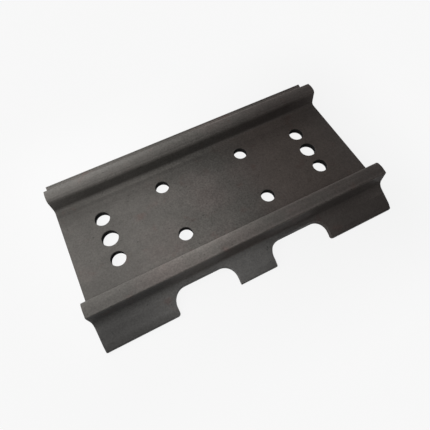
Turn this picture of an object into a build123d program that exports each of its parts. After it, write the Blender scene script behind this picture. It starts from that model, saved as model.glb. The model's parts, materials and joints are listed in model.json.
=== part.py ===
from build123d import *
import os
from math import cos, radians, tan

# Track shoe of a small excavator: a length of rolled double-grouser section, punched and notched.
# X runs along the grousers, +Y points to the rear lip and +Z to the ground. The origin is the
# centre of the four link bolts, on the flat underside that seats on the track links.

# Overall sizes
shoe_length = 300.0
plate_thickness = 7.0

# Grousers: each has a domed crown, a sharp outer edge and a rounded inner one
front_grouser_y = -60.7
front_grouser_height = 20.3
front_crown_width = 14.2
rear_grouser_y = 59.5
rear_grouser_height = 18.5
rear_crown_width = 13.0
crown_rise = 1.2
crown_radius = 12.0
outer_edge_radius = 1.2
inner_edge_radius = 3.8
outer_face_draft = 3.0
inner_face_draft = 6.0
bed_root_radius = 3.5

# Front lip, which slopes down from the front grouser and curls over at its nose
front_lip_reach = 24.4
front_lip_slope = 22.0
front_lip_thickness = 6.0
front_root_radius = 9.0
nose_length = 5.0
nose_slope = 35.0
nose_bend_radius = 8.0
nose_edge_radius = 1.5

# Rear lip, which rises so that the front lip of the next shoe can pass below it
rear_lip_reach = 14.5
rear_lip_slope = 15.0
rear_tip_thickness = 4.5
rear_root_radius = 4.0
rear_edge_radius = 1.2
underside_bend_radius = 20.0

# Holes: four for the link bolts, and three at each end for a bolt-on road pad
bolt_spacing_x = 90.0
bolt_spacing_y = 57.5
bolt_hole_diameter = 14.0
pad_hole_spacing_x = 221.5
pad_hole_pitch = 22.8
pad_hole_diameter = 15.0
middle_hole_diameter = 16.5

# Notches in the front lip, which clear the track links of the next shoe
notch_spacing_x = 99.2
notch_width = 61.2
notch_floor_y = -72.5
notch_corner_radius = 13.0
lip_corner_radius = 3.5
cutting_margin = 10.0


def grouser_corners(centre_y, height, width, outward):
    """Section corners of one grouser, from its outer face to its inner foot, with their roundings."""
    edge_z = plate_thickness + height - crown_rise
    outer_y = centre_y + outward * width / 2
    inner_y = centre_y - outward * width / 2
    inner_foot_y = inner_y - outward * (edge_z - plate_thickness) * tan(radians(inner_face_draft))
    return [
        ((outer_y, edge_z), outer_edge_radius),
        ((centre_y, edge_z + crown_rise), crown_radius),
        ((inner_y, edge_z), inner_edge_radius),
        ((inner_foot_y, plate_thickness), bed_root_radius),
    ]


def outer_foot_y(centre_y, height, width, outward):
    """Where the outer face of a grouser would reach the level of the pad bed."""
    lean = (height - crown_rise) * tan(radians(outer_face_draft))
    return centre_y + outward * (width / 2 + lean)


# The taller, front grouser reaches the ground first
ground_z = plate_thickness + front_grouser_height

# Front lip and nose: the top runs down from the grouser, the underside is parallel to it
lip_fall = tan(radians(front_lip_slope))
nose_fall = tan(radians(nose_slope))
front_foot_y = outer_foot_y(front_grouser_y, front_grouser_height, front_crown_width, -1)
nose_y = front_foot_y - front_lip_reach
nose_bend_y = nose_y + nose_length
nose_bend_z = plate_thickness - (front_foot_y - nose_bend_y) * lip_fall
nose_top_z = nose_bend_z - nose_length * nose_fall
lip_depth_z = front_lip_thickness / cos(radians(front_lip_slope))
lip_under_y = front_foot_y - (plate_thickness - lip_depth_z) / lip_fall

# Rear lip: the top rises gently to the tip, the underside rises more and thins it
rear_foot_y = outer_foot_y(rear_grouser_y, rear_grouser_height, rear_crown_width, 1)
rear_tip_y = rear_foot_y + rear_lip_reach
rear_tip_z = plate_thickness + rear_lip_reach * tan(radians(rear_lip_slope))
rear_under_y = rear_grouser_y - rear_crown_width / 2

section_corners = [
    ((rear_tip_y, rear_tip_z - rear_tip_thickness), rear_edge_radius),
    ((rear_tip_y, rear_tip_z), rear_edge_radius),
    ((rear_foot_y, plate_thickness), rear_root_radius),
    *grouser_corners(rear_grouser_y, rear_grouser_height, rear_crown_width, 1),
    *reversed(grouser_corners(front_grouser_y, front_grouser_height, front_crown_width, -1)),
    ((front_foot_y, plate_thickness), front_root_radius),
    ((nose_bend_y, nose_bend_z), nose_bend_radius),
    ((nose_y, nose_top_z), nose_edge_radius),
    ((nose_y, nose_top_z - front_lip_thickness), nose_edge_radius),
    ((nose_bend_y, nose_bend_z - lip_depth_z), nose_bend_radius),
    ((lip_under_y, 0), underside_bend_radius),
    ((rear_under_y, 0), underside_bend_radius),
]

with BuildPart() as track_shoe:
    # Rolled section, cut to length
    with BuildSketch(Plane.YZ):
        with BuildLine():
            FilletPolyline(
                [corner for corner, rounding in section_corners],
                radius=[rounding for corner, rounding in section_corners],
                close=True,
            )
        make_face()
    extrude(amount=shoe_length / 2, both=True)

    # Link bolt holes, and the three road pad holes at each end, of which the middle one is larger
    with Locations(Plane.XY.offset(plate_thickness)):
        with GridLocations(bolt_spacing_x, bolt_spacing_y, 2, 2):
            Hole(bolt_hole_diameter / 2)
        with GridLocations(pad_hole_spacing_x, 2 * pad_hole_pitch, 2, 2):
            Hole(pad_hole_diameter / 2)
        with GridLocations(pad_hole_spacing_x, pad_hole_pitch, 2, 1):
            Hole(middle_hole_diameter / 2)

    # One notch, with rounded inner corners and its outer lip corner broken, and its mirror image
    tab_wall_x = (notch_spacing_x - notch_width) / 2
    outer_wall_x = tab_wall_x + notch_width
    clear_y = nose_y - cutting_margin
    with BuildSketch(Plane.XY):
        with BuildLine():
            FilletPolyline(
                (tab_wall_x, clear_y),
                (tab_wall_x, notch_floor_y),
                (outer_wall_x, notch_floor_y),
                (outer_wall_x, nose_y + lip_corner_radius),
                radius=notch_corner_radius,
            )
            RadiusArc(
                (outer_wall_x, nose_y + lip_corner_radius),
                (outer_wall_x + lip_corner_radius, nose_y),
                -lip_corner_radius,
            )
            Polyline(
                (outer_wall_x + lip_corner_radius, nose_y),
                (outer_wall_x + lip_corner_radius, clear_y),
                (tab_wall_x, clear_y),
            )
        make_face()
        mirror(about=Plane.YZ)
    extrude(amount=ground_z + cutting_margin, both=True, mode=Mode.SUBTRACT)

track_shoe.part.label = "track_shoe"

os.makedirs("parts", exist_ok=True)
export_step(track_shoe.part, "parts/track_shoe.step")
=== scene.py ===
import bpy
import json
from math import atan, radians
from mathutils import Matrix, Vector

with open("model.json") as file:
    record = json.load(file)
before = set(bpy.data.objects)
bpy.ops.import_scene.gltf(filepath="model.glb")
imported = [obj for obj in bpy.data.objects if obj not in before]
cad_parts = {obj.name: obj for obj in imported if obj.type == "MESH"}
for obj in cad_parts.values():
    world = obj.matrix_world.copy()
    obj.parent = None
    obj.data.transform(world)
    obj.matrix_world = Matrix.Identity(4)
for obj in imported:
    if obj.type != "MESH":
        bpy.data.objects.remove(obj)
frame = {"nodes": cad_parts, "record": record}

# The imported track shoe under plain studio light, in matt dark shop paint over rolled steel.
# Metres throughout. X runs along the grousers, +Y points to the rear lip and +Z to the ground.

bpy.context.view_layer.update()
shoe = frame["nodes"]["track_shoe"]
mounts = {mount["name"]: mount for mount in frame["record"]["mounts"]}

# Camera, solved from the photograph
camera_place = (-0.07535, -0.16526, 0.31848)
camera_turn = (26.409, 1.247, -26.812)
camera_lens = 30.049
sensor_width = 36.0
camera_clip_start = 0.01

# Studio: a row of three soft lamps across the left half, from over the front to low behind.
# Each lamp has its place, its aim and its power. The surround itself gives no light.
background_white = 0.935
ambient_level = 0.0
lamp_size = 0.20
lamps = {
    "front": ((-0.12, -0.10, 0.20), (-0.06, -0.03, 0.0), 0.291),
    "left": ((-0.18, 0.04, 0.20), (-0.09, 0.01, 0.0), 0.411),
    "rear": ((-0.12, 0.28, 0.12), (-0.06, 0.08, 0.0), 0.92),
}

# Floor, which shows a faint shadow near the shoe and is even elsewhere
floor_size = 8.0
floor_gap = 0.0002
floor_bounce = 0.30
floor_paleness = 0.90
shadow_depth = 0.055
shadow_x = (-0.19, 0.20)
shadow_y = (-0.14, 0.12)
shadow_fade = 0.06

# Paint colours, warmer towards the right and the front
cool_paint = (0.0780, 0.0733, 0.0675)
warm_paint = (0.0835, 0.0733, 0.0680)
lip_paint = (0.0758, 0.0738, 0.0712)
brown_paint = (0.0872, 0.0733, 0.0663)
rust_tint = (0.0850, 0.0580, 0.0520)
warmth_along = 1.2
warmth_across = -0.8
warmth_ends = (0.38, 0.62)
rust_ends = (0.58, 0.74)
rust_share = 0.5

# Paint layers: between its ends, each noise takes the shade from one value to the other
noise_ends = (0.25, 0.75)
mottle_shades = (0.92, 1.08)
streak_shades = (0.96, 1.04)
patch_shades = (0.95, 1.05)
speckle_shades = (-0.14, 0.14)
speck_ends = (0.70, 0.76)
speck_shades = (1.0, 0.70)

# Paint surface
paint_roughness = 0.55
roughness_spread = 0.08
paint_shine = 0.06
fine_relief = 0.3
relief_strength = 0.35
relief_depth = 0.0004

# Hole walls, with painted shade below their rims. The bolt patterns of the record, in millimetres,
# place them.
# Between each pair of ends the dark fades out: as a face leans off upright, as it is further
# outside the hole, and as it is higher.
mm = 0.001
bore_patterns = ("track_bolts", "pad_bolts", "pad_middle_holes")
bore_painted_shade = (0.016, 0.016, 0.016)
upright_ends = (0.05, 0.3)
bore_ends = (0.0003, 0.0008)
bore_rim = (0.0052, 0.0066)

# Areas of the shoe, each a box of its ends in X, Y and Z with soft sides
whole = (-0.2, 0.2)
soft_along = 0.03
soft_across = 0.0008

# Areas with a paint of their own
tinted_areas = {
    "front lip": ((-0.20, 0.06), (-0.1000, -0.0696), (-0.0200, 0.0200), lip_paint),
    "front outer face": ((-0.20, -0.07), (-0.0700, -0.0672), (0.0000, 0.0255), lip_paint),
    "bed": ((0.045, 0.14), (-0.0500, 0.0500), (-0.0010, 0.0085), brown_paint),
}

# Areas where the fine grain is stronger, with its gain
grainy_areas = {
    "middle": ((-0.045, 0.045), (-0.0480, 0.0700), (-0.0010, 0.0300), 1.6),
    "front crown": ((-0.20, 0.03), (-0.0700, -0.0530), (0.0200, 0.0300), 1.25),
}

# Areas of painted light and shade, each with its gain: over 1 paints light and highlights on the
# paint, under 1 paints shade and shadow
painted_light_areas = {
    "front crown": ((-0.10, 0.20), (-0.0700, -0.0530), (0.0245, 0.0300), 1.18),
    # Painted highlight on the middle of the front crown
    "crown painted highlight": ((-0.07, 0.01), (-0.0700, -0.0530), (0.0245, 0.0300), 1.28),
    "front inner edge": ((-0.07, 0.00), (-0.0580, -0.0530), (0.0225, 0.0300), 1.14),
    "front crown edge": ((0.01, 0.20), (-0.0685, -0.0655), (0.0240, 0.0300), 1.25),
    "front crown dip": ((0.03, 0.20), (-0.0595, -0.0560), (0.0245, 0.0300), 0.88),
    "front crown half": ((0.03, 0.20), (-0.0690, -0.0612), (0.0245, 0.0300), 1.08),
    "front outer edge": (whole, (-0.0700, -0.0670), (0.0225, 0.0262), 1.30),
    "front outer face": ((-0.07, 0.03), (-0.0700, -0.0670), (0.0070, 0.0225), 1.18),
    "front lip": ((-0.10, 0.20), (-0.1000, -0.0696), (-0.0200, 0.0200), 1.40),
    "front lip end": ((-0.20, -0.10), (-0.1000, -0.0780), (-0.0200, 0.0200), 0.89),
    "lip tab": ((-0.045, 0.03), (-0.1000, -0.0696), (-0.0200, 0.0200), 1.38),
    "bed": ((-0.10, 0.00), (-0.0500, 0.0480), (-0.0010, 0.0085), 1.18),
    # Painted shade on the right of the bed
    "right bed painted shade": ((0.02, 0.12), (-0.0500, 0.0400), (-0.0010, 0.0085), 0.90),
    "front foot": ((-0.10, 0.00), (-0.0500, -0.0410), (-0.0010, 0.0100), 1.12),
    "rear foot": ((-0.12, 0.00), (0.0465, 0.0495), (-0.0010, 0.0090), 1.16),
    # Painted shadow on the bed in front of the rear grouser's foot
    "bed painted shadow": ((-0.17, 0.02), (0.0420, 0.0455), (-0.0010, 0.0085), 0.85),
    # Painted shade on the rear grouser's inner face above its root
    "rear root painted shade": ((-0.13, 0.11), (0.0495, 0.0528), (0.0085, 0.0200), 0.75),
    "rear crown": ((-0.20, 0.06), (0.0550, 0.0670), (0.0225, 0.0300), 1.08),
    "rear inner edge": (whole, (0.0515, 0.0542), (0.0203, 0.0300), 1.24),
    "rear inner corner": ((-0.13, 0.02), (0.0510, 0.0545), (0.0195, 0.0240), 1.18),
    "rear outer edge": ((0.01, 0.20), (0.0643, 0.0670), (0.0225, 0.0300), 1.50),
    "rear lip": (whole, (0.0700, 0.0792), (0.0075, 0.0200), 1.50),
    "rear lip end": ((0.00, 0.20), (0.0700, 0.0792), (0.0075, 0.0200), 1.25),
    "right end": ((0.13, 0.20), whole, whole, 1.14),
    "right root": ((0.13, 0.20), (-0.0780, -0.0670), (0.0000, 0.0255), 1.40),
    "right inner face": ((0.14, 0.20), (0.0500, 0.0570), (0.0085, 0.0300), 1.50),
}


def add_node(tree, kind, inputs=(), **settings):
    """A new node. Each input is given a value, or linked if what is given is a socket."""
    made = tree.nodes.new(kind)
    for name, value in settings.items():
        setattr(made, name, value)
    for name, value in dict(inputs).items():
        if isinstance(value, bpy.types.NodeSocket):
            tree.links.new(value, made.inputs[name])
        else:
            made.inputs[name].default_value = value
    return made


def calculate(tree, operation, *values):
    """The result of a Math node."""
    return add_node(tree, "ShaderNodeMath", enumerate(values), operation=operation).outputs[0]


def as_colour(value):
    """A socket as it is, or three numbers as an opaque colour."""
    return value if isinstance(value, bpy.types.NodeSocket) else (*value, 1.0)


def blend_colour(tree, amount, first, second):
    """Two colours mixed by an amount from 0 to 1."""
    # A Mix node has several sockets of each name, so those for its colours go by number
    colours = {0: amount, 6: as_colour(first), 7: as_colour(second)}
    return add_node(tree, "ShaderNodeMix", colours, data_type="RGBA").outputs[2]


def remap(tree, value, low, high, out_low=0.0, out_high=1.0):
    """A smooth step from out_low to out_high as the value goes from low to high."""
    ends = {
        "Value": value,
        "From Min": low,
        "From Max": high,
        "To Min": out_low,
        "To Max": out_high,
    }
    return add_node(tree, "ShaderNodeMapRange", ends, interpolation_type="SMOOTHSTEP").outputs[0]


def soft_range(tree, value, ends, softness):
    """1 between two ends, falling softly to 0 past them."""
    low, high = ends
    off_middle = calculate(tree, "ABSOLUTE", calculate(tree, "SUBTRACT", value, (low + high) / 2))
    half = (high - low) / 2
    return remap(tree, off_middle, half - softness, half + softness, 1.0, 0.0)


def soft_box(tree, split, x, y, z):
    """1 inside a box, falling softly to 0 past its sides."""
    along = soft_range(tree, split["X"], x, soft_along)
    across = soft_range(tree, split["Y"], y, soft_across)
    upward = soft_range(tree, split["Z"], z, soft_across)
    return calculate(tree, "MULTIPLY", along, calculate(tree, "MULTIPLY", across, upward))


def gained(tree, value, split, areas):
    """A value, multiplied in each area by its gain."""
    for x, y, z, gain in areas.values():
        change = calculate(tree, "MULTIPLY", soft_box(tree, split, x, y, z), gain - 1)
        value = calculate(tree, "MULTIPLY_ADD", value, change, value)
    return value


def grain(tree, place, scale, detail=4.0, roughness=0.6, stretch=(1, 1, 1), offset=(0, 0, 0)):
    """Noise about 0.5 at so many cells per metre, drawn out along an axis by a small stretch."""
    moves = {"Vector": place, "Scale": stretch, "Location": offset}
    moved = add_node(tree, "ShaderNodeMapping", moves).outputs[0]
    settings = {"Vector": moved, "Scale": scale, "Detail": detail, "Roughness": roughness}
    return add_node(tree, "ShaderNodeTexNoise", settings).outputs[0]


def new_material(name):
    """A node material with nothing in it but its output: the material, its tree and the output."""
    material = bpy.data.materials.new(name)
    material.use_nodes = True
    tree = material.node_tree
    tree.nodes.clear()
    return material, tree, tree.nodes.new("ShaderNodeOutputMaterial")


def seen_rays(tree):
    """1 for a ray that the camera, a gloss or a glass sends, and 0 for one that carries light."""
    path = add_node(tree, "ShaderNodeLightPath").outputs
    mirrored = calculate(tree, "MAXIMUM", path["Is Glossy Ray"], path["Is Transmission Ray"])
    return calculate(tree, "MAXIMUM", path["Is Camera Ray"], mirrored)


def make_camera():
    """The camera at the photograph's viewing angle."""
    data = bpy.data.cameras.new("camera")
    data.lens = camera_lens
    data.sensor_width = sensor_width
    data.clip_start = camera_clip_start
    camera = bpy.data.objects.new("camera", data)
    camera.location = camera_place
    camera.rotation_euler = [radians(turn) for turn in camera_turn]
    bpy.context.scene.collection.objects.link(camera)
    bpy.context.scene.camera = camera


def make_world():
    """A pale surround to look at, which lights the part at the ambient level alone."""
    world = bpy.data.worlds.new("surround")
    world.use_nodes = True
    tree = world.node_tree
    tree.nodes.clear()
    white = (1.0, 1.0, 1.0, 1.0)
    light, seen = (
        add_node(tree, "ShaderNodeBackground", {"Color": white, "Strength": level}).outputs[0]
        for level in (ambient_level, background_white)
    )
    mix = add_node(tree, "ShaderNodeMixShader", {0: seen_rays(tree), 1: light, 2: seen})
    add_node(tree, "ShaderNodeOutputWorld", {"Surface": mix.outputs[0]})
    bpy.context.scene.world = world


def make_lamp(name, place, aim, power):
    """A soft round lamp that points at its aim."""
    data = bpy.data.lights.new(name, "AREA")
    data.shape = "DISK"
    data.size = lamp_size
    data.energy = power
    lamp = bpy.data.objects.new(name, data)
    lamp.location = place
    lamp.rotation_euler = (Vector(aim) - Vector(place)).to_track_quat("-Z", "Y").to_euler()
    bpy.context.scene.collection.objects.link(lamp)


def resting_line():
    """The lowest point of the free part and the slope in Y of the floor that it rests on."""
    points = [vertex.co for vertex in shoe.data.vertices]
    nose = min(points, key=lambda point: point.z)
    behind = [point for point in points if point.y > 0]
    heel = min(behind, key=lambda point: (point.z - nose.z) / (point.y - nose.y))
    return nose, (heel.z - nose.z) / (heel.y - nose.y)


def make_floor_material():
    """An even pale colour to look at, mixed near the shoe with a surface that shows its shadow."""
    material, tree, output = new_material("pale_floor")
    ground, shaded = (
        add_node(tree, "ShaderNodeBsdfDiffuse", {"Color": (grey, grey, grey, 1.0)}).outputs[0]
        for grey in (floor_bounce, floor_paleness)
    )
    even = add_node(tree, "ShaderNodeEmission", {"Strength": background_white}).outputs[0]
    place = add_node(tree, "ShaderNodeTexCoord").outputs["Object"]
    split = add_node(tree, "ShaderNodeSeparateXYZ", {0: place}).outputs
    beside = soft_range(tree, split["X"], shadow_x, shadow_fade)
    before = soft_range(tree, split["Y"], shadow_y, shadow_fade)
    near = calculate(tree, "MULTIPLY", calculate(tree, "MULTIPLY", beside, before), shadow_depth)
    pale = add_node(tree, "ShaderNodeMixShader", {0: near, 1: even, 2: shaded}).outputs[0]
    mix = add_node(tree, "ShaderNodeMixShader", {0: seen_rays(tree), 1: ground, 2: pale})
    tree.links.new(mix.outputs[0], output.inputs["Surface"])
    return material


def make_floor():
    """A pale floor at the slope of a shoe that lies free."""
    nose, slope = resting_line()
    half = floor_size / 2
    corners = [(-half, -half, 0), (half, -half, 0), (half, half, 0), (-half, half, 0)]
    mesh = bpy.data.meshes.new("floor")
    mesh.from_pydata(corners, [], [(0, 1, 2, 3)])
    mesh.materials.append(make_floor_material())
    floor = bpy.data.objects.new("floor", mesh)
    floor.location = (0, 0, nose.z - nose.y * slope - floor_gap)
    floor.rotation_euler = (atan(slope), 0, 0)
    bpy.context.scene.collection.objects.link(floor)


def bore_mask(tree, split):
    """1 on the walls of the punched holes below their rims, and 0 elsewhere."""
    across, along = (calculate(tree, "ABSOLUTE", split[axis]) for axis in ("X", "Y"))
    nearest = None
    for name in bore_patterns:
        pattern = mounts[name]["dims"]
        hole_x = pattern["spacing_x_mm"] * mm / 2
        hole_y = pattern.get("spacing_y_mm", 0) * mm / 2
        side_x = calculate(tree, "SUBTRACT", across, hole_x)
        side_y = calculate(tree, "SUBTRACT", along, hole_y)
        squares = [calculate(tree, "MULTIPLY", side, side) for side in (side_x, side_y)]
        distance = calculate(tree, "SQRT", calculate(tree, "ADD", *squares))
        outside = calculate(tree, "SUBTRACT", distance, pattern["hole_r_mm"] * mm)
        nearest = outside if nearest is None else calculate(tree, "MINIMUM", nearest, outside)
    close = remap(tree, nearest, *bore_ends, 1.0, 0.0)
    deep = remap(tree, split["Z"], *bore_rim, 1.0, 0.0)

    geometry = add_node(tree, "ShaderNodeNewGeometry").outputs
    face_z = add_node(tree, "ShaderNodeSeparateXYZ", {0: geometry["True Normal"]}).outputs["Z"]
    upright = remap(tree, calculate(tree, "ABSOLUTE", face_z), *upright_ends, 1.0, 0.0)
    return calculate(tree, "MULTIPLY", calculate(tree, "MULTIPLY", close, upright), deep)


def make_paint():
    """Matt shop paint with patches, stains and grain, painted light and shade in areas, and
    painted shade on the hole walls.
    """
    material, tree, output = new_material("shoe_paint")
    place = add_node(tree, "ShaderNodeTexCoord").outputs["Object"]
    split = add_node(tree, "ShaderNodeSeparateXYZ", {0: place}).outputs

    patches = grain(tree, place, scale=14.0, detail=3.0, offset=(0.31, 0.12, 0.0))
    mottle = grain(tree, place, scale=90.0, detail=5.0, roughness=0.65)
    streaks = grain(tree, place, scale=60.0, detail=3.0, stretch=(0.12, 1.6, 1.6))
    fine = grain(tree, place, scale=620.0, detail=3.0, roughness=0.55)
    specks = grain(tree, place, scale=330.0, detail=1.0, offset=(0.0, 0.5, 0.2))
    stains = grain(tree, place, scale=55.0, detail=4.0, offset=(0.7, 0.2, 0.1))

    # Colour: cool to warm paint, the tinted areas and rust
    warmth = calculate(tree, "MULTIPLY_ADD", split["X"], warmth_along, patches)
    warmth = calculate(tree, "MULTIPLY_ADD", split["Y"], warmth_across, warmth)
    colour = blend_colour(tree, remap(tree, warmth, *warmth_ends), cool_paint, warm_paint)
    for x, y, z, tint in tinted_areas.values():
        colour = blend_colour(tree, soft_box(tree, split, x, y, z), colour, tint)
    rust = calculate(tree, "MULTIPLY", remap(tree, stains, *rust_ends), rust_share)
    colour = blend_colour(tree, rust, colour, rust_tint)

    # Shade: the fine grain, the coarser layers and the painted light and shade of the areas
    speckle = remap(tree, fine, *noise_ends, *speckle_shades)
    shade = calculate(tree, "ADD", gained(tree, speckle, split, grainy_areas), 1.0)
    layers = (
        (mottle, noise_ends, mottle_shades),
        (streaks, noise_ends, streak_shades),
        (patches, noise_ends, patch_shades),
        (specks, speck_ends, speck_shades),
    )
    for layer, ends, shades in layers:
        shade = calculate(tree, "MULTIPLY", shade, remap(tree, layer, *ends, *shades))
    # Painted light and shade: the paint is lighter or darker in each area by its gain
    shade = gained(tree, shade, split, painted_light_areas)
    scaling = {0: colour, "Scale": shade}
    shaded = add_node(tree, "ShaderNodeVectorMath", scaling, operation="SCALE").outputs[0]
    # Painted shade: the hole walls take a near-black colour below their rims
    bore = bore_mask(tree, split)
    colour = blend_colour(tree, bore, shaded, bore_painted_shade)

    # Surface: a little rougher and smoother in places, and without shine in the bores
    smoothest = paint_roughness - roughness_spread
    roughest = paint_roughness + roughness_spread
    roughness = remap(tree, mottle, *noise_ends, smoothest, roughest)
    height = calculate(tree, "MULTIPLY_ADD", fine, fine_relief, mottle)
    bump = {"Height": height, "Strength": relief_strength, "Distance": relief_depth}
    surface = {
        "Base Color": colour,
        "Roughness": calculate(tree, "MAXIMUM", roughness, bore),
        "Normal": add_node(tree, "ShaderNodeBump", bump).outputs[0],
        "Specular IOR Level": paint_shine,
    }
    paint = add_node(tree, "ShaderNodeBsdfPrincipled", surface)
    tree.links.new(paint.outputs[0], output.inputs["Surface"])
    return material


make_camera()
make_world()
for name, (place, aim, power) in lamps.items():
    make_lamp(name, place, aim, power)
make_floor()
shoe.material_slots[0].material = make_paint()

bpy.context.scene.view_settings.view_transform = "Standard"
